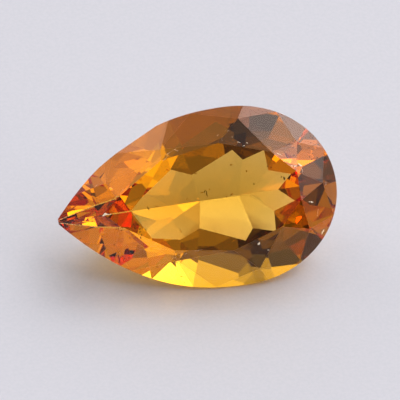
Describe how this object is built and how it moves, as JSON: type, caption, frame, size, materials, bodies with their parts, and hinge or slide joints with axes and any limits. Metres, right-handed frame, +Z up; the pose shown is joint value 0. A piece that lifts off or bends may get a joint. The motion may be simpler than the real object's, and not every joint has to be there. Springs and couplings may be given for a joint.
{
  "type": "pear-cut faceted citrine gemstone",
  "caption": "Loose clear golden-orange citrine with a pear outline, a large flat table and a deep faceted pavilion ending in a keel, cut to be set in jewellery.",
  "frame": {"origin": "middle of the underside of the stone's bounding box, on the surface that it lies on", "axes": "+X along the stone from its tip to its round head, +Z up, square to the facet it lies on; the table faces -Y and up at about 44 degrees from +Z"},
  "size_m": [0.014, 0.0066, 0.0063],
  "materials": {
    "citrine": "clear golden orange, polished flat facets, worn and finely nicked facet edges, a few dark pinpoint inclusions"
  },
  "bodies": {
    "root": {"pear_citrine": "citrine"}
  },
  "joints": []
}
